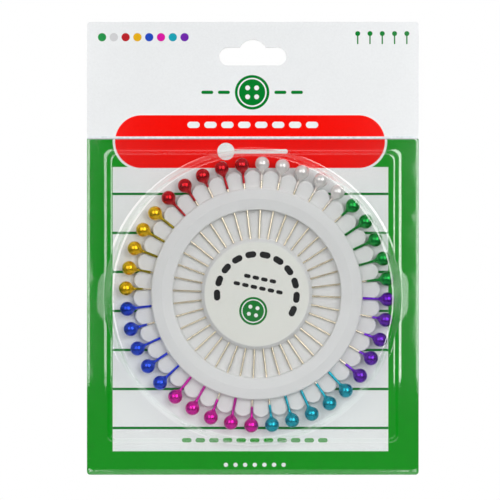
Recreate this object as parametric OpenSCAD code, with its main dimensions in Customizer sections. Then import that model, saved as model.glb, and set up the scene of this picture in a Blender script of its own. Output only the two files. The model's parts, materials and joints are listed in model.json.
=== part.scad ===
// Carded pin wheel: a printed hang card with a clear blister sealed to its
// front, and inside it a moulded wheel that holds dressmaking pins like
// spokes. The card hangs upright: +Z runs up the card, its printed front
// faces -Y, and the origin is the centre of the hang hole on the card's back.

/* [Card] */
// Thickness of the board
card_t = 0.5; // [0.3:0.05:1.2]
// Radius of the card's corners
card_corner_r = 1; // [0.3:0.1:5]
// Distance from the card's top edge to the middle of the hang hole
hole_drop = 10.4; // [8:0.1:16]
// Width of the hang hole
hole_w = 20.2; // [14:0.1:32]
// Height of the hang hole's slot
hole_h = 5.4; // [5:0.1:8]
// Width of the round notch above the slot
notch_w = 7.8; // [5:0.1:12]
// Rise of the notch above the slot
notch_rise = 2.35; // [1:0.05:3.5]

/* [Blister] */
// Thickness of the clear film
film_t = 0.3; // [0.2:0.05:0.6]
// Distance from the card's top edge to the film's top edge
film_drop = 34.5; // [24:0.5:60]
// Width of the sealed border on each side of the dome
seal_side = 5.4; // [3:0.1:14]
// Width of the sealed border above the dome
seal_top = 3.6; // [2:0.1:14]
// Width of the sealed border below the dome
seal_bottom = 9.2; // [3:0.1:20]
// Height of the square step round the dome
step_rise = 2.5; // [1.5:0.1:3.5]
// How far the dome's foot bulges past each side of the square step
step_inset = 0.6; // [0.3:0.1:2]
// Radius of the square step's corners
step_corner_r = 2.5; // [1:0.1:8]
// How far the dome's wall leans in between its foot and its top
dome_lean = 2.3; // [0.5:0.1:2.7]
// Gap between the label and the inside of the dome
lid_gap = 1.8; // [1:0.1:6]
// Least gap between the dome's foot and a head that is pulled right out
head_gap = 0.5; // [0.4:0.05:3]

/* [Wheel] */
// Wall thickness of the moulding
sheet_t = 0.8; // [0.5:0.05:1.2]
// Bevel along the edges of the hub and of the ring
edge_bevel = 0.8; // [0.4:0.05:1]
// Gap between the card and the wheel's feet
foot_gap = 0.15; // [0.1:0.05:0.4]
// Gap between the pins' holes and the flat plate below them
plate_clear = 0.08; // [0.02:0.01:0.2]
// Diameter of the raised hub
hub_d = 33.2; // [26:0.1:36]
// Height of the hub above the pins' holes
hub_head = 1.92; // [1.7:0.02:3]
// Height of the ring's crest above the pins' holes
ring_head = 1.72; // [1.7:0.02:3]
// Width of the raised ring
ring_w = 6.5; // [5:0.1:8]
// Distance from the ring to the tips of the petals
petal_reach = 5.5; // [4.5:0.1:7]
// How far the wheel lies to the right of the middle of the dome
wheel_shift_x = 1.2; // [-1.5:0.1:1.5]
// How far the wheel lies above the middle of the dome
wheel_shift_z = 0.8; // [-1.5:0.1:1.5]
// Turn of the first pin from level, anticlockwise
wheel_turn = 6.6; // [0:0.1:360]

/* [Label] */
// Thickness of the label's paper
label_t = 0.12; // [0.08:0.01:0.3]
// Gap between the label and the edge of the hub's flat top
label_margin = 0.2; // [0.1:0.1:4]

/* [Pins] */
// Length of a pin, from its point to the top of its head
pin_len = 38; // [34:0.5:48]
// Diameter of the steel shank
shank_d = 0.6; // [0.4:0.05:0.7]
// Length of the ground point
point_len = 4; // [3.5:0.5:8]
// Radius of the clear circle that the points leave round the wheel's middle
point_circle_r = 3.4; // [3.2:0.1:6]
// Diameter of the round head
head_d = 4.3; // [3.2:0.1:4.8]
// Length of the neck between the head and the coat
neck_len = 0.9; // [0.5:0.1:1]
// Thickness of the plastic coat that runs down the shank from the neck
coat_t = 0.075; // [0.05:0.005:0.1]
// Depth of the shank past the middle of the head
shank_depth = 0.6; // [0:0.1:1]
// Gap between the steel and the plastic moulded over it
bond_gap = 0.01; // [0.005:0.005:0.02]
// Gap between a head and the card
head_lift = 0.38; // [0.3:0.02:1]
// How far the heads reach in between the tips of the petals
head_nest = 0.1; // [0:0.05:0.15]
// How far the heads stand in front of or behind their circle
head_scatter = 0.35; // [0:0.05:0.4]
// How far a pin can be pulled out from that circle
pull_out = 0.9; // [0.5:0.05:2]
// Radial clearance of a coated pin in its holes
hole_clear = 0.125; // [0.05:0.025:0.15]

/* [Hidden] */
$fn = 96;
COLOURS = ["green", "white", "red", "yellow", "blue", "magenta", "turquoise", "purple"];
TINTS = ["seagreen", "ghostwhite", "firebrick", "gold",
         "royalblue", "deeppink", "darkturquoise", "rebeccapurple"];
PER_COLOUR = 5;
PIN_COUNT = len(COLOURS) * PER_COLOUR;
PINS = [for (colour = COLOURS, n = [1:PER_COLOUR]) str("pin_", colour, "_", n)];

// How far each pin's coat runs past its neck, one row a colour. The heads are
// dipped by the handful, so the coats end where they will.
coat_runs = [
    [3, 5.5, 5.5, 5.5, 1.5],
    [2, 1.5, 2.5, 2, 2],
    [2.5, 3.5, 0.7, 2.5, 5.5],
    [5.5, 5.5, 5.5, 3.5, 2],
    [5.5, 2, 5.5, 4, 5.5],
    [5.5, 5.5, 2.7, 5.5, 2.5],
    [3, 7, 10.5, 4, 7],
    [2.5, 1, 2, 1, 5.5]
];

// Pins
pin_pitch = 360 / PIN_COUNT;
shank_r = shank_d / 2;
coat_r = shank_r + coat_t;
head_r = head_d / 2;
tip_r = 0.04;
neck_angle = 55;
head_circle_r = point_circle_r + pin_len - head_r;
pin_axis_h = head_lift + head_r;
pin_hole_r = coat_r + hole_clear;

// Wheel radii from the petals inwards, and heights from the card outwards
petal_tip_r = head_circle_r - head_r + head_nest;
petal_r = petal_tip_r * sin(pin_pitch / 2) / (1 + sin(pin_pitch / 2));
ring_out_r = petal_tip_r - petal_reach;
ring_in_r = ring_out_r - ring_w;
hub_r = hub_d / 2;
plate_top = pin_axis_h - pin_hole_r - plate_clear;
plate_lift = plate_top - sheet_t;
hub_rise = pin_axis_h + pin_hole_r + hub_head;
ring_rise = pin_axis_h + pin_hole_r + ring_head;
label_r = hub_r - edge_bevel - label_margin;

// Dome: it clears a head that is pulled right out on the side the wheel lies
head_reach = head_circle_r + pull_out + head_r;
dome_foot_r = head_reach + norm([wheel_shift_x, wheel_shift_z]) + head_gap + film_t;
dome_top_r = dome_foot_r - dome_lean;
dome_rise = hub_rise + label_t + lid_gap + film_t;
step_half = dome_foot_r - step_inset;

// Card and film, from the hang hole down
card_w = 2 * (dome_foot_r + seal_side);
card_top = hole_drop;
film_top = card_top - film_drop;
pocket_z = film_top - seal_top - dome_foot_r;
card_bottom = pocket_z - dome_foot_r - seal_bottom;
wheel_at = [wheel_shift_x, pocket_z + wheel_shift_z];
notch_r = (notch_w * notch_w / 4 + notch_rise * notch_rise) / (2 * notch_rise);

// How far the head of pin k stands out from the circle of the heads: most at
// the wheel's lower right, and a little at random, as the pins were pushed in
function scatter(k) =
    head_scatter * (0.7 * cos(wheel_turn + k * pin_pitch - 285) + 0.3 * sin(k * 137));

// Puts a shape drawn flat, with its height along Z, on the card's front
module on_card() {
    translate([0, -card_t, 0]) rotate([90, 0, 0]) children();
}

// Flat rectangle with round corners
module round_rect(x0, x1, y0, y1, r) {
    translate([x0 + r, y0]) square([x1 - x0 - 2 * r, y1 - y0]);
    translate([x0, y0 + r]) square([x1 - x0, y1 - y0 - 2 * r]);
    for (x = [x0 + r, x1 - r], y = [y0 + r, y1 - r]) translate([x, y]) circle(r);
}

// Outline of the hang hole: a slot with round ends and a notch over its middle
module hang_hole() {
    end_r = hole_h / 2;
    end_x = hole_w / 2 - end_r;
    square([2 * end_x, hole_h], center = true);
    for (x = [-end_x, end_x]) translate([x, 0]) circle(end_r);
    intersection() {
        translate([0, end_r + notch_rise - notch_r]) circle(notch_r);
        translate([-notch_w / 2, 0]) square([notch_w, end_r + notch_rise]);
    }
}

// Printed board with its hang hole
module card() {
    color("whitesmoke") rotate([90, 0, 0]) linear_extrude(card_t) difference() {
        round_rect(-card_w / 2, card_w / 2, card_bottom, card_top, card_corner_r);
        hang_hole();
    }
}

// Solid step and dome, as far inside the film's outer face as the inset says
module pocket(inset, floor_h) {
    foot_r = dome_foot_r - inset;
    half = step_half - inset;
    translate([0, pocket_z, floor_h]) {
        rotate_extrude() polygon([[0, 0], [foot_r, 0], [foot_r, step_rise - floor_h],
                                  [dome_top_r - inset, dome_rise - inset - floor_h],
                                  [0, dome_rise - inset - floor_h]]);
        linear_extrude(step_rise - inset - floor_h)
            round_rect(-half, half, -half, half, step_corner_r - inset);
    }
}

// One clear film: a flat border sealed to the card, a low square step and a
// round dome, all of the same thickness
module blister() {
    color("aliceblue", 0.35) on_card() difference() {
        union() {
            linear_extrude(film_t)
                round_rect(-card_w / 2, card_w / 2, card_bottom, film_top, card_corner_r);
            pocket(0, 0);
        }
        pocket(film_t, -1);
    }
}

// Half section of the wheel: the hub and the ring are raised and hollow from
// beneath, and their walls run down past the plate as feet
module wheel_section() {
    crest_r = (ring_in_r + ring_out_r) / 2;
    hub_roof = hub_rise - sheet_t;
    ring_roof = ring_rise - sheet_t;
    polygon([
        [0, hub_roof], [hub_r - sheet_t - edge_bevel, hub_roof],
        [hub_r - sheet_t, hub_roof - edge_bevel],
        [hub_r - sheet_t, foot_gap], [hub_r, foot_gap], [hub_r, plate_lift],
        [ring_in_r, plate_lift], [ring_in_r, foot_gap], [ring_in_r + sheet_t, foot_gap],
        [ring_in_r + sheet_t, ring_roof - edge_bevel],
        [ring_in_r + sheet_t + edge_bevel, ring_roof - edge_bevel / 2],
        [crest_r, ring_roof],
        [ring_out_r - sheet_t - edge_bevel, ring_roof - edge_bevel / 2],
        [ring_out_r - sheet_t, ring_roof - edge_bevel],
        [ring_out_r - sheet_t, foot_gap], [ring_out_r, foot_gap], [ring_out_r, plate_lift],
        [petal_tip_r, plate_lift], [petal_tip_r, plate_top], [ring_out_r, plate_top],
        [ring_out_r, ring_rise - 2 * edge_bevel],
        [ring_out_r - edge_bevel, ring_rise - edge_bevel / 2], [crest_r, ring_rise],
        [ring_in_r + edge_bevel, ring_rise - edge_bevel / 2],
        [ring_in_r, ring_rise - 2 * edge_bevel],
        [ring_in_r, plate_top], [hub_r, plate_top],
        [hub_r, hub_rise - edge_bevel], [hub_r - edge_bevel, hub_rise], [0, hub_rise]
    ]);
}

// Outline of the petals: one round lobe between each pin and the next
module petal_outline() {
    petal_mid_r = petal_tip_r - petal_r;
    circle(petal_mid_r);
    for (k = [0:PIN_COUNT - 1])
        rotate((k + 0.5) * pin_pitch) translate([petal_mid_r, 0]) circle(petal_r, $fn = 48);
}

// One moulding: hub, plate, raised ring and petals, with a hole for each pin
// through the walls of the ring and of the hub
module wheel() {
    color("lightsteelblue", 0.8) on_card() translate(wheel_at) rotate(wheel_turn)
        difference() {
            intersection() {
                rotate_extrude() wheel_section();
                linear_extrude(hub_rise + 1) petal_outline();
            }
            for (k = [0:PIN_COUNT - 1])
                rotate(k * pin_pitch) translate([hub_r / 2, 0, pin_axis_h])
                    rotate([0, 90, 0]) cylinder(h = ring_out_r - hub_r / 2 + 1, r = pin_hole_r);
        }
}

// Round paper label stuck on the hub
module label() {
    color("ivory") on_card() translate([wheel_at.x, wheel_at.y, hub_rise])
        cylinder(h = label_t, r = label_r);
}

// Ground steel wire, point down, with its blunt end inside the head
module shank() {
    point_z = head_r - pin_len;
    rotate_extrude() polygon([[0, point_z], [tip_r, point_z], [shank_r, point_z + point_len],
                              [shank_r, shank_depth], [0, shank_depth]]);
}

// Round plastic head with its neck and the coat it leaves on the shank. A thin
// gap keeps the plastic and the steel two solids.
module head(coat_run) {
    neck_z = -head_r - neck_len;
    coat_z = neck_z - coat_run;
    rotate_extrude() difference() {
        union() {
            intersection() {
                circle(head_r);
                translate([0, -head_r]) square([head_r, 2 * head_r]);
            }
            polygon([[0, coat_z], [coat_r, coat_z], [coat_r, neck_z],
                     [head_r * cos(neck_angle), -head_r * sin(neck_angle)], [0, 0]]);
        }
        translate([0, coat_z - 1])
            square([shank_r + bond_gap, 1 - coat_z + shank_depth + bond_gap]);
    }
}

// Pin k of the wheel: it points at the hub, and its head stands past the petals
module pin(k) {
    colour = floor(k / PER_COLOUR);
    on_card() translate(wheel_at) rotate(wheel_turn + k * pin_pitch)
        translate([head_circle_r + scatter(k), 0, pin_axis_h]) rotate([0, 90, 0]) {
            color("silver") shank();
            color(TINTS[colour]) head(coat_runs[colour][k % PER_COLOUR]);
        }
}

card();
blister();
wheel();
label();
for (k = [0:PIN_COUNT - 1])
    pin(k);
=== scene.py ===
import json
import math

import bpy
import numpy as np
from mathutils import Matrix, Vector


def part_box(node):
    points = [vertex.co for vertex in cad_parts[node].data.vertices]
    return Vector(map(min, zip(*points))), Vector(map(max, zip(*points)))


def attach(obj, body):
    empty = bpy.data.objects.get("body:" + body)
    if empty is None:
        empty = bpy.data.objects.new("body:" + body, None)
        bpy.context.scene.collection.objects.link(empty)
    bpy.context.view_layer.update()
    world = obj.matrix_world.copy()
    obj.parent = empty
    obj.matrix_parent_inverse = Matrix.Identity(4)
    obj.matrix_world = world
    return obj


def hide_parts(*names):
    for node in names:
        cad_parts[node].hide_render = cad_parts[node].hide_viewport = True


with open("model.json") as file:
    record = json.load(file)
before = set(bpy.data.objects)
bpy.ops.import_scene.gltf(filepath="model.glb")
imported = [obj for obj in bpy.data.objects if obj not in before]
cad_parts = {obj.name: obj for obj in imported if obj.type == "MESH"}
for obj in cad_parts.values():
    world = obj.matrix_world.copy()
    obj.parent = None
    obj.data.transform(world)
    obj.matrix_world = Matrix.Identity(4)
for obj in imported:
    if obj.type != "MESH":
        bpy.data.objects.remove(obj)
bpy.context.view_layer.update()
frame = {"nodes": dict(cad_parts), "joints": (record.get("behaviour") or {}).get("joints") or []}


# ---- Studio ------------------------------------------------------------------
# The card hangs in front of a white ground, seen square on through a long
# lens. Two tall softboxes stand left and right of the camera, the right one
# brighter, and the floor under the card fades into the white ground.

MM = 0.001
card_low, card_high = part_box("card")
card_front = card_low.y
stage_mid_x = (card_low.x + card_high.x) / 2
stage_mid_z = (card_low.z + card_high.z) / 2


class Nodes:
    """A node tree that grows by one node a call, each call giving back the new node's output."""

    def __init__(self, tree):
        self.tree = tree

    def node(self, kind, inputs=None, **settings):
        """Adds a node with these settings, and feeds its inputs with sockets or plain values."""
        made = self.tree.nodes.new(kind)
        for name, value in settings.items():
            setattr(made, name, value)
        for name, value in (inputs or {}).items():
            self.feed(made.inputs[name], value)
        return made

    def feed(self, socket, value):
        """Links a socket into another, or sets the plain value on it."""
        if isinstance(value, bpy.types.NodeSocket):
            self.tree.links.new(value, socket)
        else:
            socket.default_value = value

    def maths(self, operation, *values):
        """One sum on numbers."""
        return self.node("ShaderNodeMath", dict(enumerate(values)), operation=operation).outputs[0]

    def mix(self, share, low, high):
        """Colour that goes from low to high as share goes from 0 to 1."""
        inputs = {0: share, 6: low, 7: high}
        return self.node("ShaderNodeMix", inputs, data_type="RGBA").outputs[2]

    def ramp(self, value, low, high, to_low=0.0, to_high=1.0):
        """Number that goes evenly from to_low to to_high as value goes from low to high."""
        inputs = {0: value, 1: low, 2: high, 3: to_low, 4: to_high}
        return self.node("ShaderNodeMapRange", inputs).outputs[0]

    def mix_number(self, share, low, high):
        """Number that goes from low to high as share goes from 0 to 1."""
        return self.node("ShaderNodeMix", {0: share, 2: low, 3: high}, data_type="FLOAT").outputs[0]

    def axes(self, vector):
        """The three parts of a vector."""
        return self.node("ShaderNodeSeparateXYZ", {0: vector}).outputs

    def length(self, vector):
        """Length of a vector."""
        return self.node("ShaderNodeVectorMath", {0: vector}, operation="LENGTH").outputs["Value"]

    def scale(self, vector, by):
        """A vector or a colour, times a number."""
        return self.node("ShaderNodeVectorMath", {0: vector, 3: by}, operation="SCALE").outputs[0]

    def noise(self, place, scale, detail):
        """Cloudy number from 0 to 1, with grains about one over the scale in size."""
        inputs = {"Vector": place, "Scale": scale, "Detail": detail}
        return self.node("ShaderNodeTexNoise", inputs).outputs[0]

    def bump(self, height, strength, distance):
        """Normal of a face that rises and falls with the height."""
        inputs = {"Height": height, "Strength": strength, "Distance": distance}
        return self.node("ShaderNodeBump", inputs).outputs[0]

    def object_place(self):
        """Place on the object, in metres."""
        return self.node("ShaderNodeTexCoord").outputs["Object"]


def tint(red, green, blue):
    """Linear colour of a paint given as it looks, each part from 0 to 255."""
    part = np.array([red, green, blue]) / 255
    linear = np.where(part <= 0.04045, part / 12.92, ((part + 0.055) / 1.055) ** 2.4)
    return (*linear.tolist(), 1.0)


def new_object(name, data):
    """Object made of this data, linked into the scene."""
    made = bpy.data.objects.new(name, data)
    bpy.context.scene.collection.objects.link(made)
    return made


def new_finish(name):
    """Material of this name, with its nodes and its principled shader."""
    material = bpy.data.materials.new(name)
    material.use_nodes = True
    return material, Nodes(material.node_tree), material.node_tree.nodes["Principled BSDF"]


def set_camera(view_width, lens, sensor, right, down):
    """Camera square to the card, as far off as makes the view that wide at the card, and moved
    right and down from the card's middle."""
    camera = bpy.data.cameras.new("camera")
    camera.lens = lens
    camera.sensor_width = sensor
    camera.clip_start = 0.01
    holder = new_object("camera", camera)
    distance = view_width * lens / sensor
    holder.location = (stage_mid_x + right, card_front - distance, stage_mid_z - down)
    holder.rotation_euler = (math.radians(90), 0, 0)
    bpy.context.scene.camera = holder


def add_softbox(name, side_angle, rise_angle, distance, width, height, glow):
    """Flat light of an even glow, turned to the card's middle from an angle to the side and above."""
    lamp = bpy.data.lights.new(name, "AREA")
    lamp.shape = "RECTANGLE"
    lamp.size = width
    lamp.size_y = height
    lamp.energy = glow * math.pi * width * height
    holder = new_object(name, lamp)
    side = math.radians(side_angle)
    rise = math.radians(rise_angle)
    holder.location = (stage_mid_x + distance * math.sin(side) * math.cos(rise),
                       card_front - distance * math.cos(side) * math.cos(rise),
                       stage_mid_z + distance * math.sin(rise))
    holder.rotation_euler = (math.radians(90) - rise, 0, side)
    holder.visible_camera = False


def light_world(ground, above, behind, ahead):
    """White to the camera. To everything else, a soft room that is brighter above and past the card."""
    world = bpy.data.worlds.new("studio")
    bpy.context.scene.world = world
    world.use_nodes = True
    tree = Nodes(world.node_tree)
    way = tree.axes(tree.node("ShaderNodeTexCoord").outputs["Generated"])
    up = tree.ramp(way[2], 0.0, 1.0, 0.0, above)
    past = tree.ramp(way[1], -1.0, 1.0, behind, ahead)
    room = tree.maths("ADD", up, past)
    seen = tree.node("ShaderNodeLightPath").outputs["Is Camera Ray"]
    glow = tree.maths("MAXIMUM", tree.maths("MULTIPLY", seen, ground), room)
    back = world.node_tree.nodes["Background"]
    tree.feed(back.inputs["Color"], (1.0, 1.0, 1.0, 1.0))
    tree.feed(back.inputs["Strength"], glow)


def lay_floor(drop, radius, plain_r, fade_r):
    """Round pale floor under the card that turns into the white ground past plain_r."""
    sides = 96
    turn = np.linspace(0, 2 * math.pi, sides, endpoint=False)
    level = np.full(sides, card_low.z - drop)
    rim = np.stack([radius * np.cos(turn), radius * np.sin(turn), level], axis=1)
    mesh = bpy.data.meshes.new("floor")
    mesh.from_pydata(rim.tolist(), [], [list(range(sides))])
    floor = new_object("floor", mesh)
    material, tree, paint = new_finish("pale_floor")
    paint.inputs["Base Color"].default_value = (0.82, 0.82, 0.82, 1.0)
    paint.inputs["Roughness"].default_value = 0.7
    place = tree.axes(tree.object_place())
    away = tree.length(tree.node("ShaderNodeCombineXYZ", {0: place[0], 1: place[1]}).outputs[0])
    fade = tree.ramp(away, plain_r, fade_r)
    seen = tree.node("ShaderNodeLightPath").outputs["Is Camera Ray"]
    glow = tree.ramp(seen, 0.0, 1.0, 0.08, 1.0)
    white = tree.node("ShaderNodeEmission", {"Strength": glow}).outputs[0]
    blend = tree.node("ShaderNodeMixShader", {0: fade, 1: paint.outputs[0], 2: white}).outputs[0]
    tree.feed(material.node_tree.nodes["Material Output"].inputs["Surface"], blend)
    mesh.materials.append(material)


set_camera(view_width=150.6 * MM, lens=150, sensor=36, right=-0.84 * MM, down=0.5 * MM)
add_softbox("softbox_left", -26, 2, 0.9, 0.60, 1.10, glow=2.35)
add_softbox("softbox_right", 26, 4, 0.9, 0.60, 1.10, glow=3.65)
light_world(ground=1.0, above=0.40, behind=0.015, ahead=0.70)
lay_floor(drop=30 * MM, radius=3.0, plain_r=0.06, fade_r=0.17)
bpy.context.scene.view_settings.view_transform = "Standard"


# ---- Card --------------------------------------------------------------------
# Clay-coated board, 0.5 mm thick, printed in green and red on the front only,
# then die-cut with its hang hole. The print is plain sewing motifs: pin heads,
# pins, a button and running stitches.


class Print(Nodes):
    """Inks laid one over another on a flat piece, at places in millimetres."""

    def __init__(self, tree, across, up, paper):
        super().__init__(tree)
        self.across = across
        self.up = up
        self.colour = paper

    def bar(self, across, up, half, width, upright=False):
        """Distance to a bar with round ends: past half along its line, and off its line, less half
        its width."""
        along, off = (up, across) if upright else (across, up)
        past = self.maths("MAXIMUM", self.maths("SUBTRACT", self.maths("ABSOLUTE", along), half), 0.0)
        corner = self.node("ShaderNodeCombineXYZ", {0: past, 1: off}).outputs[0]
        return self.maths("SUBTRACT", self.length(corner), width / 2)

    def block(self, across, up, half_across, half_up):
        """Distance to a square-cornered block: the larger of how far past its sides and its ends."""
        side = self.maths("SUBTRACT", self.maths("ABSOLUTE", across), half_across)
        end = self.maths("SUBTRACT", self.maths("ABSOLUTE", up), half_up)
        return self.maths("MAXIMUM", side, end)

    def ink(self, distance, colour, edge=0.05):
        """Lays ink where the distance is below nothing, with an edge as soft as print."""
        share = self.ramp(distance, edge, -edge)
        self.colour = self.mix(share, self.colour, colour)

    def place(self, at_across, at_up):
        """Both directions, measured from a point."""
        return self.maths("SUBTRACT", self.across, at_across), self.maths("SUBTRACT", self.up, at_up)

    def spot(self, at_across, at_up, diameter, colour):
        """Round spot."""
        across, up = self.place(at_across, at_up)
        self.ink(self.bar(across, up, 0.0, diameter), colour)

    def strip(self, low_across, high_across, low_up, high_up, colour):
        """Square-cornered patch between two pairs of edges."""
        across, up = self.place((low_across + high_across) / 2, (low_up + high_up) / 2)
        self.ink(self.block(across, up, (high_across - low_across) / 2, (high_up - low_up) / 2), colour)

    def stitches(self, middle, at_up, count, pitch, length, width, colour):
        """Row of running stitches: one bar repeated at the pitch, kept within the row's ends."""
        across, up = self.place(middle, at_up)
        shifted = across if count % 2 else self.maths("ADD", across, pitch / 2)
        each = self.maths("WRAP", shifted, pitch / 2, -pitch / 2)
        stitch = self.bar(each, up, (length - width) / 2, width)
        ends = self.block(across, up, count * pitch / 2, width)
        self.ink(self.maths("MAXIMUM", stitch, ends), colour)

    def pin(self, at_across, at_up, length, head, wire, colour, upright=False):
        """Drawn pin: a round head at one end of a thin bar."""
        across, up = self.place(at_across, at_up)
        self.ink(self.bar(across, up, length / 2, wire, upright), colour)
        if upright:
            self.spot(at_across, at_up + length / 2, head, colour)
        else:
            self.spot(at_across - length / 2, at_up, head, colour)

    def button(self, at_across, at_up, diameter, face, line):
        """Drawn four-hole button: a disc with a thin inner rim and its four holes."""
        self.spot(at_across, at_up, diameter, face)
        self.spot(at_across, at_up, diameter * 0.84, line)
        self.spot(at_across, at_up, diameter * 0.76, face)
        hole_at = diameter * 0.13
        for side in (-hole_at, hole_at):
            for level in (-hole_at, hole_at):
                self.spot(at_across + side, at_up + level, diameter * 0.14, line)


INK_GREEN = tint(2, 156, 20)
INK_RULE = tint(2, 128, 44)
INK_RED = tint(255, 12, 3)
INK_WHITE = tint(246, 248, 248)
BOARD_WHITE = tint(243, 245, 246)


def printed_board():
    """Board finish: the inks of the front over coated white, and bare grey-white board elsewhere."""
    material, start, shader = new_finish("printed_board")
    in_mm = start.scale(start.object_place(), 1000.0)
    x, y, z = start.axes(in_mm)
    front = Print(start.tree, x, z, BOARD_WHITE)

    # The green ground, the white panel with its seven rules, and the red banner
    panel_left = -42.2
    panel_right = 40.8
    front.strip(-60, 60, -140, -24.9, INK_GREEN)
    front.strip(panel_left, panel_right, -118.9, -33.3, INK_WHITE)
    top_rule = -41.4
    rule_pitch = 11.75
    rule_half = 0.38
    for row in range(7):
        rule = top_rule - rule_pitch * row
        front.strip(panel_left, panel_right, rule - rule_half, rule + rule_half, INK_RULE)
    banner_height = 15.9
    banner_half = 40.65 - banner_height / 2
    across, up = front.place(-0.85, -25.65)
    front.ink(front.bar(across, up, banner_half, 17.3), INK_WHITE)
    front.ink(front.bar(across, up, banner_half, banner_height), INK_RED)

    # Eight pin heads at the top left and five pins at the top right
    shown = [(22, 150, 70), (214, 214, 216), (190, 25, 35), (236, 180, 20),
             (35, 75, 195), (222, 25, 165), (25, 165, 185), (115, 40, 175)]
    for count, colour in enumerate(shown):
        front.spot(-45.4 + 3.55 * count, 5.8, 2.5, tint(*colour))
    for count in range(5):
        front.pin(31.6 + 3.7 * count, 5.4, 3.0, 1.5, 0.42, INK_RULE, upright=True)

    # A button between two rows of stitches above the banner
    front.button(-0.2, -10.8, 10.4, INK_RULE, INK_WHITE)
    for side in (-1, 1):
        front.stitches(-0.2 + side * 11.0, -10.8, 2, 5.0, 3.6, 1.0, INK_RULE)

    # Stitches and one large pin on the banner, stitches and spots at the foot
    front.stitches(0, -20.6, 8, 5.1, 3.7, 1.9, INK_WHITE)
    front.pin(0.9, -28.6, 18.0, 5.2, 1.3, INK_WHITE)
    front.stitches(0.6, -115.6, 11, 4.1, 2.9, 1.3, INK_GREEN)
    front.stitches(0.6, -123.0, 7, 2.9, 1.3, 1.25, INK_WHITE)

    # Fibres and coating: faint mottle in the colour, the gloss and the face
    fibre = front.noise(in_mm, 1.6, 6.0)
    flow = front.noise(in_mm, 0.05, 2.0)
    fine = front.ramp(fibre, 0.3, 0.7, 0.975, 1.015)
    coarse = front.ramp(flow, 0.3, 0.7, 0.985, 1.01)
    printed = front.scale(front.colour, front.maths("MULTIPLY", fine, coarse))
    bare = front.mix(front.ramp(fibre, 0.35, 0.65), tint(214, 211, 203), tint(232, 230, 223))
    is_front = front.maths("LESS_THAN", y, card_front / MM + 0.04)
    front.feed(shader.inputs["Base Color"], front.mix(is_front, bare, printed))
    gloss = front.ramp(fibre, 0.3, 0.7, 0.09, 0.14)
    front.feed(shader.inputs["Roughness"], front.mix_number(is_front, 0.75, gloss))
    front.feed(shader.inputs["Normal"], front.bump(fibre, 0.12, 0.00004))
    shader.inputs["Specular IOR Level"].default_value = 0.3
    return material


card = frame["nodes"]["card"]
card.material_slots[0].material = printed_board()


# ---- Blister -----------------------------------------------------------------
# Clear PET film, 0.3 mm thick, vacuum-formed over a block: a flat border that
# is heat-sealed to the card, a low square step with drafted walls, and a round
# dome over the wheel. The border's top edge is cut, and a white band painted
# along it stands in for the highlight that edge catches.

FILM = 0.3
SEAL_AIR = 0.02
STEP_RISE = 2.5
STEP_DRAFT = 1.15
STEP_LEAN = 0.32
STEP_INSET = 0.6
STEP_CORNER = 2.5
BORDER_CORNER = 1.4
BOTTOM_INSET = 5.4
SEAL_SIDE = 5.4
SEAL_BOTTOM = 9.2
DOME_LEAN = 2.3
DOME_CROWN = 0.14

film_low, film_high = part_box("blister")
film_half = film_high.x / MM
film_rise = (card_front - film_low.y) / MM
dome_foot_r = film_half - SEAL_SIDE
pocket_z = film_low.z / MM + SEAL_BOTTOM + dome_foot_r
film_up = film_high.z / MM - pocket_z
film_down = pocket_z - film_low.z / MM
step_half = dome_foot_r - STEP_INSET
card_face = -card_front / MM


def on_card(across, up, rise):
    """Points of the frame, in metres, from places on the card and the rise off its face, in
    millimetres."""
    across, up, rise = np.broadcast_arrays(across, up, rise)
    return np.stack([across, -card_face - rise, up], axis=-1) * MM


def bent(corners, radii, steps=6):
    """Line through corners with each inner corner rounded. The arc of radius r starts r times the
    tangent of half the turn before the corner, and runs round to as far past it."""
    corners = np.array(corners, float)
    line = [corners[:1]]
    for before, corner, after, r in zip(corners[:-2], corners[1:-1], corners[2:], radii):
        way_in = (corner - before) / np.linalg.norm(corner - before)
        way_out = (after - corner) / np.linalg.norm(after - corner)
        turn = math.atan2(way_in[0] * way_out[1] - way_in[1] * way_out[0], way_in @ way_out)
        start = corner - way_in * r * math.tan(abs(turn) / 2)
        normal = np.array([-way_in[1], way_in[0]]) * math.copysign(1, turn)
        swept = np.linspace(0, abs(turn), steps + 1)[:, None]
        line.append(start + r * (way_in * np.sin(swept) + normal * (1 - np.cos(swept))))
    line.append(corners[-1:])
    return np.concatenate(line)


def skin(name, rings, first=None, last=None):
    """Closed or open surface through rings of points that all run anticlockwise seen from the first
    ring's side. The points first and last close its two ends."""
    count, per_ring = rings.shape[:2]
    index = np.arange(count * per_ring).reshape(count, per_ring)
    onward = np.roll(index, -1, axis=1)
    quads = np.stack([index[:-1], index[1:], onward[1:], onward[:-1]], axis=-1).reshape(-1, 4)
    points = rings.reshape(-1, 3)
    faces = quads.tolist()
    for tip, near in ((first, 0), (last, -1)):
        if tip is not None:
            closing = np.full(per_ring, len(points))
            points = np.concatenate([points, np.reshape(tip, (1, 3))])
            if near == 0:
                faces += np.stack([closing, index[near], onward[near]], axis=-1).tolist()
            else:
                faces += np.stack([index[near], closing, onward[near]], axis=-1).tolist()
    mesh = bpy.data.meshes.new(name)
    mesh.from_pydata(points.tolist(), [], faces)
    mesh.shade_smooth()
    return new_object(name, mesh)


def box_reach(turn, half, above, below, corner_r):
    """Distance from the middle to a round-cornered box along each angle: to the side or the end,
    whichever is nearer, or to the corner's arc where the line meets that."""
    run = np.abs(np.cos(turn))
    climb = np.abs(np.sin(turn))
    end = np.where(np.sin(turn) > 0, above, below)
    flat = np.minimum(half / np.maximum(run, 1e-9), end / np.maximum(climb, 1e-9))
    at_corner = (flat * run > half - corner_r) & (flat * climb > end - corner_r)
    along = run * (half - corner_r) + climb * (end - corner_r)
    inside = along ** 2 - (half - corner_r) ** 2 - (end - corner_r) ** 2 + corner_r ** 2
    return np.where(at_corner, along + np.sqrt(np.maximum(inside, 0)), flat)


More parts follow.
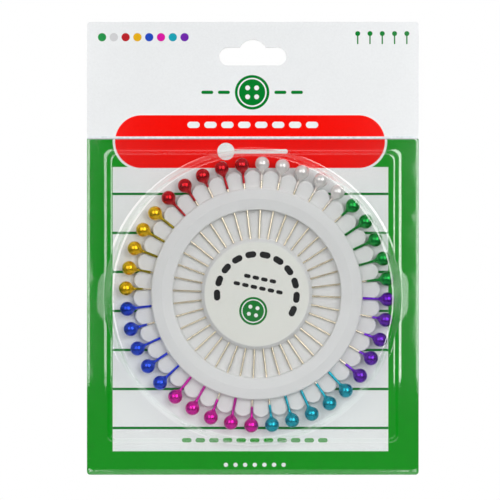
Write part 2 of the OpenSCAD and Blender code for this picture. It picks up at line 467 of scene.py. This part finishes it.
def film_angles(even, corners, spread, extra):
    """Even angles all round, with extra ones about the corners."""
    turns = [np.linspace(0, 2 * math.pi, even, endpoint=False)]
    for corner in corners:
        turns.append(corner + np.linspace(-spread, spread, extra))
    return np.unique(np.round(np.concatenate(turns) % (2 * math.pi), 5))


def blister():
    """Film surface in rings about the dome's middle. Up the step's wall a ring is the square or the
    dome, whichever reaches further; then it crosses the plateau, climbs the dome and crowns over. The
    dome's wall has drawn in by lean (1 - (1 - climb)^1.2) at each share of the climb, so it gets a
    little steeper towards its top. A ring on either side of a bend keeps the shine off the flats. A
    ring of the border is BOTTOM_INSET times as far in at the bottom edge, where the seal is widest."""
    corners = [math.atan2(film_up, film_half), math.pi - math.atan2(film_up, film_half),
               math.pi + math.atan2(film_down, film_half), -math.atan2(film_down, film_half)]
    corners += [math.radians(45 + 90 * quarter) for quarter in range(4)]
    turn = film_angles(440, corners, 0.07, 30)
    base = FILM + SEAL_AIR

    # The dome leans a little up to the step's top and more above it
    dome_step_r = dome_foot_r - STEP_LEAN
    dome_top_r = dome_foot_r - DOME_LEAN
    top_rise = film_rise - DOME_CROWN
    climb = np.linspace(0, 1, 5)
    drawn_in = dome_step_r - (dome_step_r - dome_top_r) * (1 - (1 - climb) ** 1.2)
    wall = list(zip(drawn_in, STEP_RISE + (top_rise - STEP_RISE) * climb))
    corners_up = [(dome_step_r + 4, STEP_RISE), *wall, (dome_top_r - 4, top_rise)]
    dome = bent(corners_up, [0.5, 2, 3, 3, 0.55])
    dome[0, 0] = dome[1, 0] + 0.4
    dome[-1, 0] = dome[-2, 0] - 0.4

    # From the border inwards: the seal's pressed line, the step's wall and the plateau
    rings = []
    rises = []
    for inset, pressed in ((0, 0), (0.35, 0), (0.45, 0), (0.6, 0.07), (0.75, 0), (0.85, 0)):
        rings.append(box_reach(turn, film_half - inset, film_up - inset,
                               film_down - BOTTOM_INSET * inset, BORDER_CORNER))
        rises.append(base + pressed)
    step = bent([(-2, base), (0, base), (STEP_DRAFT, STEP_RISE), (STEP_DRAFT + 2, STEP_RISE)],
                [0.4, 0.45])[1:]
    step[-1, 0] = step[-2, 0] + 0.4
    guard = step_half + 0.9
    rings.append(np.maximum(box_reach(turn, guard, guard, guard, STEP_CORNER), dome_foot_r + 0.5))
    rises.append(base)
    for inset, rise in step:
        side = step_half - inset
        square = box_reach(turn, side, side, side, STEP_CORNER - inset / 2)
        lean = dome_foot_r - STEP_LEAN * np.clip((rise - base) / (STEP_RISE - base), 0, 1)
        foot = max(0.0, 0.5 - (rise - base)) ** 2 * 1.2
        rings.append(np.maximum(square, lean + foot))
        rises.append(rise)
    for radius, rise in dome:
        rings.append(np.minimum(radius, rings[-1] - 0.012))
        rises.append(rise)
    for share in (0.8, 0.55, 0.3, 0.1):
        rings.append(np.full(len(turn), dome_top_r * share))
        rises.append(top_rise + DOME_CROWN * (1 - share ** 2))

    reach = np.array(rings[::-1])
    rise = np.array(rises[::-1])[:, None]
    points = on_card(reach * np.cos(turn), pocket_z + reach * np.sin(turn), rise)
    film = skin("film_blister", points, first=on_card(0.0, pocket_z, film_rise))
    wall_film = film.modifiers.new("film", "SOLIDIFY")
    wall_film.thickness = FILM * MM
    wall_film.offset = -1
    return film


def clear_film():
    """Clear film: see-through, less so at a slant, with gloss on top, and a painted highlight along its
    cut top edge.
    """
    material, tree, principled = new_finish("clear_film")
    material.node_tree.nodes.remove(principled)
    place = tree.object_place()

    # Slow waves left by the forming, too shallow to see but for the shine
    bump = tree.bump(tree.noise(place, 70.0, 2.0), 0.1, 0.0005)
    slant = tree.node("ShaderNodeLayerWeight", {"Blend": 0.5}).outputs["Facing"]
    grazing = tree.maths("POWER", slant, 5.0)
    square_on = (0.925, 0.928, 0.928, 1.0)
    edge_on = (0.55, 0.58, 0.56, 1.0)
    through = tree.mix(tree.maths("POWER", slant, 3.0), square_on, edge_on)
    clear = tree.node("ShaderNodeBsdfTransparent", {"Color": through}).outputs[0]
    mirrored = tree.maths("MULTIPLY_ADD", grazing, 0.5, 0.085)
    gloss = {"Color": mirrored, "Roughness": 0.035, "Normal": bump}
    shine = tree.node("ShaderNodeBsdfAnisotropic", gloss).outputs[0]
    film = tree.node("ShaderNodeAddShader", {0: clear, 1: shine}).outputs[0]

    # The cut edge across the top: a painted highlight, a band of flat diffuse white that thins out
    # unevenly
    speck = tree.noise(place, 900.0, 3.0)
    top = film_high.z
    band = tree.ramp(tree.axes(place)[2], top - 0.95 * MM, top - 0.5 * MM, 0.0, 0.92)
    painted_edge_highlight = tree.maths("MULTIPLY", band, tree.ramp(speck, 0.25, 0.6, 0.75, 1.0))
    highlight_white = tree.node("ShaderNodeBsdfDiffuse", {"Color": tint(238, 243, 246)}).outputs[0]
    whole = tree.node("ShaderNodeMixShader", {0: painted_edge_highlight, 1: film, 2: highlight_white}).outputs[0]
    tree.feed(material.node_tree.nodes["Material Output"].inputs["Surface"], whole)
    return material


film = blister()
film.data.materials.append(clear_film())
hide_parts("blister")
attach(film, "blister")


# ---- Wheel -------------------------------------------------------------------
# One injection moulding in milky polypropylene: a raised hub, a thin plate, a
# raised ring with a fine crest, and forty petals. Hub and ring are hollow from
# beneath, and every pin runs through their walls.

PINS = 40
SHEET = 0.8
FOOT_GAP = 0.15
PLATE_TOP = 1.95
HUB_R = 16.6
RING_IN_R = 25.2
RING_OUT_R = 31.7
PETAL_TIP_R = 37.2
HOLE_R = 0.5
PIN_RISE = 2.53

spin = next(joint for joint in frame["joints"] if joint["name"] == "wheel_spin")
wheel_x = spin["pos_m"][0] / MM
wheel_z = spin["pos_m"][2] / MM
wheel_low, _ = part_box("wheel")
hub_rise = (card_front - wheel_low.y) / MM
pin_joints = [joint for joint in frame["joints"] if joint["child"].startswith("pin_")]
first_pin_turn = math.atan2(pin_joints[0]["axis"][2], pin_joints[0]["axis"][0])


def petal_reach(off_middle):
    """Distance to a petal's round tip, an angle off the petal's middle: the circle's middle brought
    onto that line, plus the half chord that the line cuts in it."""
    half_pitch = math.pi / PINS
    petal_r = PETAL_TIP_R * math.sin(half_pitch) / (1 + math.sin(half_pitch))
    middle_r = PETAL_TIP_R - petal_r
    half_chord = np.sqrt(np.maximum(petal_r ** 2 - (middle_r * np.sin(off_middle)) ** 2, 0))
    return middle_r * np.cos(off_middle) + half_chord


def moulded_wheel():
    """Wheel in rings about its middle, over the top, round the petals' edge and back underneath."""
    ring_rise = hub_rise - 0.2
    shoulder = ring_rise - 0.4
    crest_r = (RING_IN_R + RING_OUT_R) / 2
    plate_low = PLATE_TOP - SHEET
    root = RING_OUT_R + 1
    over = bent([(0.5, hub_rise), (HUB_R - 0.9, hub_rise), (HUB_R, hub_rise - 1.3), (HUB_R, PLATE_TOP),
                 (RING_IN_R, PLATE_TOP), (RING_IN_R, shoulder), (crest_r, ring_rise),
                 (RING_OUT_R, shoulder), (RING_OUT_R, PLATE_TOP), (root, PLATE_TOP)],
                [0.4, 0.5, 0.35, 0.35, 0.45, 0.5, 0.6, 0.35], 5)
    under = bent([(root, plate_low), (RING_OUT_R, plate_low), (RING_OUT_R, FOOT_GAP),
                  (RING_OUT_R - SHEET, FOOT_GAP), (RING_OUT_R - SHEET, shoulder - SHEET),
                  (crest_r, ring_rise - SHEET), (RING_IN_R + SHEET, shoulder - SHEET),
                  (RING_IN_R + SHEET, FOOT_GAP), (RING_IN_R, FOOT_GAP), (RING_IN_R, plate_low),
                  (HUB_R, plate_low), (HUB_R, FOOT_GAP), (HUB_R - SHEET, FOOT_GAP),
                  (HUB_R - SHEET, hub_rise - SHEET), (0.5, hub_rise - SHEET)],
                 [0.2, 0.2, 0.2, 0.4, 0.3, 0.4, 0.2, 0.2, 0.2, 0.2, 0.2, 0.2, 0.4], 2)

    # Angles crowd towards the notches between the petals, where the edge turns most
    swing = np.linspace(-1, 1, 16, endpoint=False) + 0.0625
    in_petal = np.arcsin(math.sin(math.pi / PINS) * np.sin(swing * math.pi / 2))
    middles = (np.arange(PINS) + 0.5) * 2 * math.pi / PINS
    turn = (middles[:, None] + in_petal).ravel() + first_pin_turn
    tip = np.tile(petal_reach(in_petal), PINS)

    # The petals: flat out to a low bead, then round their edge, then flat back
    rings = [(np.full(len(turn), radius), rise) for radius, rise in over]
    for inset, rise in ((2.0, 0.0), (1.0, 0.0), (0.75, 0.05), (0.5, 0.1), (0.3, 0.08), (0.1, -0.08),
                        (0, -0.3)):
        rings.append((np.maximum(tip - inset, root + 0.02), PLATE_TOP + rise))
    for inset, rise in ((0, 0.25), (0.1, 0.08), (0.3, 0.0), (1.0, 0.0)):
        rings.append((np.maximum(tip - inset, root + 0.02), plate_low + rise))
    rings += [(np.full(len(turn), radius), rise) for radius, rise in under]
    reach = np.array([radius for radius, rise in rings])
    rise = np.array([rise for radius, rise in rings])[:, None]
    points = on_card(wheel_x + reach * np.cos(turn), wheel_z + reach * np.sin(turn), rise)
    top = on_card(wheel_x, wheel_z, hub_rise)
    roof = on_card(wheel_x, wheel_z, hub_rise - SHEET)
    return skin("moulded_wheel", points, first=top, last=roof)


def drill_pin_holes(wheel):
    """Subtracts a rod along each pin, from inside the hub to just outside the ring. The rods' faces
    point inwards, so the walls stay closed where each rod crosses them. Pointed outwards, they would
    open a hole there for the pin."""
    sides = 24
    rod_start = 12
    rod_end = RING_OUT_R + 0.5
    turn = np.linspace(0, 2 * math.pi, sides, endpoint=False)[:, None]
    near = np.array([0.0, -1.0, 0.0])
    middle = on_card(wheel_x, wheel_z, PIN_RISE)
    points = []
    faces = []
    for joint in pin_joints:
        out = np.array([joint["axis"][0], 0.0, joint["axis"][2]])
        side = np.cross(out, near)
        mouth = HOLE_R * MM * (near * np.cos(turn) + side * np.sin(turn))
        start = len(points)
        points += (middle + rod_start * MM * out + mouth).tolist()
        points += (middle + rod_end * MM * out + mouth).tolist()
        for step in range(sides):
            after = (step + 1) % sides
            faces.append([start + step, start + sides + step, start + sides + after, start + after])
        faces.append([start + step for step in range(sides)])
        faces.append([start + 2 * sides - 1 - step for step in range(sides)])
    mesh = bpy.data.meshes.new("pin_rods")
    mesh.from_pydata(points, [], faces)
    rods = new_object("pin_rods", mesh)
    cut = wheel.modifiers.new("pin_holes", "BOOLEAN")
    cut.operation = "DIFFERENCE"
    cut.solver = "MANIFOLD"
    cut.object = rods
    bpy.context.view_layer.objects.active = wheel
    bpy.ops.object.modifier_apply(modifier=cut.name)
    bpy.data.objects.remove(rods)


def milky_plastic():
    """Milky polypropylene: a cool white that lets a little through, with a soft satin shine."""
    material, tree, shader = new_finish("milky_plastic")
    place = tree.object_place()
    cloud = tree.noise(place, 90.0, 3.0)
    grain = tree.noise(place, 2600.0, 2.0)
    body = tree.mix(tree.ramp(cloud, 0.3, 0.7), tint(232, 238, 239), tint(239, 242, 242))

    # Painted shade: the plate between the hub and the ring, sunk between their walls, is painted a
    # darker white
    middle = (wheel_x * MM, 0.0, wheel_z * MM)
    from_middle = tree.node("ShaderNodeVectorMath", {0: place, 1: middle}, operation="SUBTRACT")
    flattened = {0: from_middle.outputs[0], 1: (1, 0, 1)}
    off_middle = tree.node("ShaderNodeVectorMath", flattened, operation="MULTIPLY").outputs[0]
    plate_mid_r = (HUB_R + RING_IN_R - 1) / 2 * MM
    outside = tree.maths("ABSOLUTE", tree.maths("SUBTRACT", tree.length(off_middle), plate_mid_r))
    half = (RING_IN_R - HUB_R + 1) / 2 * MM
    thin = tree.ramp(outside, half, half - 0.4 * MM)
    # The darker white mixed in here is painted shade on the plate
    tree.feed(shader.inputs["Base Color"], tree.mix(thin, body, tint(222, 227, 227)))
    tree.feed(shader.inputs["Roughness"], tree.ramp(grain, 0.3, 0.7, 0.22, 0.34))
    tree.feed(shader.inputs["Normal"], tree.bump(grain, 0.08, 0.00003))
    shader.inputs["IOR"].default_value = 1.49
    shader.inputs["Subsurface Weight"].default_value = 0.35
    shader.inputs["Subsurface Radius"].default_value = (1.0, 1.0, 1.0)
    shader.inputs["Subsurface Scale"].default_value = 1.5 * MM
    shader.inputs["Alpha"].default_value = 0.93
    return material


wheel = moulded_wheel()
drill_pin_holes(wheel)
wheel.data.materials.append(milky_plastic())
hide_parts("wheel")
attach(wheel, "wheel")


# ---- Label -------------------------------------------------------------------
# Round label of uncoated white paper, die-cut and stuck on the hub's flat top.
# It is printed with an arc of black stitches over a green button, and it went
# on a little askew.

LABEL_ASKEW = 12

label_low, label_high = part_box("label")
label_r = (label_high.x - label_low.x) / 2 / MM
label_top = (card_front - label_low.y) / MM
label_foot = (card_front - label_high.y) / MM


def paper_label():
    """Thin disc with a slightly rounded cut edge."""
    turn = np.linspace(0, 2 * math.pi, 192, endpoint=False)
    side = bent([(1, label_top), (label_r, label_top), (label_r, label_foot), (1, label_foot)],
                [0.05, 0.02], 3)
    radius = side[:, :1]
    points = on_card(wheel_x + radius * np.cos(turn), wheel_z + radius * np.sin(turn), side[:, 1:])
    first = on_card(wheel_x, wheel_z, label_top)
    last = on_card(wheel_x, wheel_z, label_foot)
    return skin("paper_label", points, first=first, last=last)


def label_paper():
    """Off-white paper with fine fibres, printed about the label's own middle."""
    material, start, shader = new_finish("label_paper")
    askew = {"Vector": start.object_place(), "Location": (wheel_x * MM, 0.0, wheel_z * MM),
             "Rotation": (0, math.radians(LABEL_ASKEW), 0), "Scale": (MM, MM, MM)}
    on_label = start.node("ShaderNodeMapping", askew, vector_type="TEXTURE").outputs[0]
    x, _, z = start.axes(on_label)
    face = Print(start.tree, x, z, tint(238, 238, 232))
    black = tint(22, 22, 24)

    # The arc of stitches: angle and radius take the place of across and up
    arc_r = 11.9
    radius = face.length(face.node("ShaderNodeCombineXYZ", {0: x, 1: z}).outputs[0])
    along_arc = face.maths("MULTIPLY", face.maths("ARCTAN2", x, z), arc_r)
    off_arc = face.maths("SUBTRACT", radius, arc_r)
    round_label = Print(start.tree, along_arc, off_arc, face.colour)
    round_label.stitches(0, 0, 11, 4.3, 3.3, 1.9, black)
    face.colour = round_label.colour
    for row, count in ((4.7, 4), (1.9, 6)):
        face.stitches(0, row, count, 2.6, 2.0, 1.15, black)
    face.button(0, -5.2, 8.4, INK_RULE, INK_WHITE)

    fibre = face.noise(on_label, 2.2, 8.0)
    shade = face.ramp(fibre, 0.3, 0.7, 0.965, 1.01)
    face.feed(shader.inputs["Base Color"], face.scale(face.colour, shade))
    face.feed(shader.inputs["Roughness"], face.ramp(fibre, 0.3, 0.7, 0.6, 0.75))
    face.feed(shader.inputs["Normal"], face.bump(fibre, 0.25, 0.00004))
    shader.inputs["Specular IOR Level"].default_value = 0.3
    return material


label = paper_label()
label.data.materials.append(label_paper())
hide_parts("label")
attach(label, "wheel")


# ---- Pins --------------------------------------------------------------------
# Forty dressmaking pins of ground steel wire, five of each colour. The heads
# are dipped in pearly plastic that runs down the wire as a neck and a thin
# coat, ending in a small bead where it will.

NECK_ANGLE = 55
NECK_LEN = 0.9
WIRE_R = 0.3
WIRE_DEPTH = 0.6
COAT = 0.075
HEAD_SIDES = 40
WIRE_SIDES = 20
POINT_LEN = 4
POINT_R = 0.04

# Each colour as it looks on the head, and as a thin coat over the wire
PEARLS = {
    "green": (tint(4, 160, 62), tint(12, 138, 48)),
    "white": (tint(250, 246, 244), tint(226, 216, 208)),
    "red": (tint(206, 2, 24), tint(172, 2, 24)),
    "yellow": (tint(252, 200, 8), tint(152, 136, 4)),
    "blue": (tint(14, 70, 222), tint(22, 54, 204)),
    "magenta": (tint(226, 0, 168), tint(208, 0, 170)),
    "turquoise": (tint(2, 168, 190), tint(4, 172, 192)),
    "purple": (tint(106, 12, 190), tint(116, 22, 206)),
}


def turned(name, axis, off_card, lengths, radii, columns):
    """Round piece about a pin's axis through the wheel's middle, from its outer end inwards: each ring
    stands at a length along the axis, its radius off it."""
    lengths = np.asarray(lengths, float)
    radii = np.asarray(radii, float)
    out = np.array([axis[0], 0.0, axis[2]])
    near = np.array([0.0, -1.0, 0.0])
    side = np.cross(out, near)
    middle = on_card(wheel_x, wheel_z, off_card)
    turn = np.linspace(0, 2 * math.pi, columns, endpoint=False)[:, None]
    round_way = near * np.cos(turn) + side * np.sin(turn)
    spine = middle + lengths[:, None] * MM * out
    rings = spine[1:-1, None, :] + radii[1:-1, None, None] * MM * round_way
    return skin(name, rings, first=spine[0], last=spine[-1])


def measure_pin(node, axis):
    """Where a pin's head, coat and point lie along its axis, and how far it stands off the card, in
    millimetres."""
    mesh = node.data
    points = np.empty(len(mesh.vertices) * 3)
    mesh.vertices.foreach_get("co", points)
    points = points.reshape(-1, 3) / MM
    off_card = -card_face - (points[:, 1].min() + points[:, 1].max()) / 2
    from_middle = points - np.array([wheel_x, -card_face - off_card, wheel_z])
    along = from_middle @ np.array([axis[0], 0.0, axis[2]])
    off_axis = np.sqrt(np.maximum((from_middle ** 2).sum(axis=1) - along ** 2, 0))
    head_r = off_axis.max()
    coat_r = WIRE_R + COAT
    coat_end = along[off_axis > (WIRE_R + coat_r) / 2].min()
    return along.max() - head_r, head_r, coat_r, coat_end, along.min(), off_card


def dipped_head(name, axis, off_card, at, head_r, coat_r, coat_end):
    """Head, neck and coat in one skin. The neck leaves the ball in line with it and settles onto the
    coat: a cubic between the ball's slope and none. The coat swells a little along its length."""
    ball = np.radians(np.concatenate([[0], np.linspace(5, 90 + NECK_ANGLE, 28)]))
    lengths = [at + head_r * np.cos(ball)]
    radii = [head_r * np.sin(ball)]
    neck_start = at - head_r * math.sin(math.radians(NECK_ANGLE))
    neck_r = head_r * math.cos(math.radians(NECK_ANGLE))
    neck_end = at - head_r - NECK_LEN
    span = neck_start - neck_end
    share = np.linspace(0, 1, 11)[1:]
    fall = -math.tan(math.radians(NECK_ANGLE)) * span
    lengths.append(neck_start - span * share)
    radii.append((2 * share ** 3 - 3 * share ** 2 + 1) * neck_r
                 + (share ** 3 - 2 * share ** 2 + share) * fall
                 + (3 * share ** 2 - 2 * share ** 3) * coat_r)
    run = np.linspace(0, 1, 12)[1:]
    swell = 1 + 0.06 * np.sin(run * 5 + at * 40) + 0.1 * np.exp(-((run - 0.93) / 0.06) ** 2)
    lengths.append(neck_end - (neck_end - coat_end) * run)
    radii.append(coat_r * swell)
    lengths.append(np.array([coat_end - 0.03, coat_end - 0.05, coat_end - 0.05]))
    radii.append(np.array([WIRE_R + 0.04, WIRE_R + 0.01, 0]))
    lengths = np.concatenate(lengths)
    radii = np.concatenate(radii)
    piece = turned(name, axis, off_card, lengths, radii, HEAD_SIDES)

    # How thin the plastic is: none on the ball, all along the coat
    thin = np.clip((neck_start - lengths) / (span * 1.15), 0, 1)
    thin = np.concatenate([np.repeat(thin[1:-1], HEAD_SIDES), thin[[0, -1]]]).astype(np.float32)
    attribute = piece.data.attributes.new("thin", "FLOAT", "POINT")
    attribute.data.foreach_set("value", thin)
    return piece


def steel_shank(name, axis, off_card, head_at, point_at):
    """Wire from its blunt end inside the head to its ground point, which tapers in a slight curve."""
    taper = np.linspace(0, 1, 7)
    lengths = np.concatenate([[head_at + WIRE_DEPTH] * 2, np.linspace(head_at, point_at + POINT_LEN, 5),
                              point_at + POINT_LEN * (1 - taper[1:]), [point_at]])
    radii = np.concatenate([[0, WIRE_R], np.full(5, WIRE_R),
                            POINT_R + (WIRE_R - POINT_R) * (1 - taper[1:] ** 1.25), [0]])
    return turned(name, axis, off_card, lengths, radii, WIRE_SIDES)


def pearly_plastic(name, colour, thin_colour):
    """Pearly dip: fine flakes under a clear gloss. Where it runs thin, the steel shows through."""
    material, tree, shader = new_finish(name)
    place = tree.object_place()
    flake = tree.node("ShaderNodeTexVoronoi", {"Vector": place, "Scale": 14000.0}).outputs["Color"]
    cloud = tree.noise(place, 700.0, 3.0)
    thin = tree.node("ShaderNodeAttribute", attribute_name="thin").outputs["Fac"]
    deep = tuple(0.84 * part for part in colour[:3]) + (1.0,)
    ball = tree.mix(tree.ramp(cloud, 0.3, 0.7), deep, colour)
    tree.feed(shader.inputs["Base Color"], tree.mix(thin, ball, thin_colour))
    tree.feed(shader.inputs["Roughness"], tree.ramp(cloud, 0.3, 0.7, 0.21, 0.27))
    grey = tree.node("ShaderNodeRGBToBW", {0: flake}).outputs[0]
    tree.feed(shader.inputs["Normal"], tree.bump(grey, 0.08, 0.00001))
    shader.inputs["Metallic"].default_value = 0.4 if name.startswith("white") else 0.78
    shader.inputs["Specular IOR Level"].default_value = 0.15
    shader.inputs["Coat Weight"].default_value = 0.35
    shader.inputs["Coat Roughness"].default_value = 0.05
    return material


def pin_steel():
    """Bright drawn steel, faintly warm, with fine marks along the wire."""
    material, tree, shader = new_finish("pin_steel")
    mark = tree.noise(tree.object_place(), 1500.0, 4.0)
    body = tree.mix(tree.ramp(mark, 0.3, 0.7), tint(222, 210, 186), tint(240, 230, 210))
    tree.feed(shader.inputs["Base Color"], body)
    tree.feed(shader.inputs["Roughness"], tree.ramp(mark, 0.3, 0.7, 0.19, 0.26))
    shader.inputs["Metallic"].default_value = 1.0
    return material


steel = pin_steel()
pearls = {colour: pearly_plastic(f"{colour}_pearl", *paints) for colour, paints in PEARLS.items()}
for joint in pin_joints:
    body = joint["child"]
    _, colour, number = body.split("_")
    axis = joint["axis"]
    head_at, head_r, coat_r, coat_end, point_at, off_card = measure_pin(frame["nodes"][body], axis)
    head = dipped_head(f"head_{colour}_{number}", axis, off_card, head_at, head_r, coat_r, coat_end)
    head.data.materials.append(pearls[colour])
    shank = steel_shank(f"shank_{colour}_{number}", axis, off_card, head_at, point_at)
    shank.data.materials.append(steel)
    for piece in (head, shank):
        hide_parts(body)
        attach(piece, body)
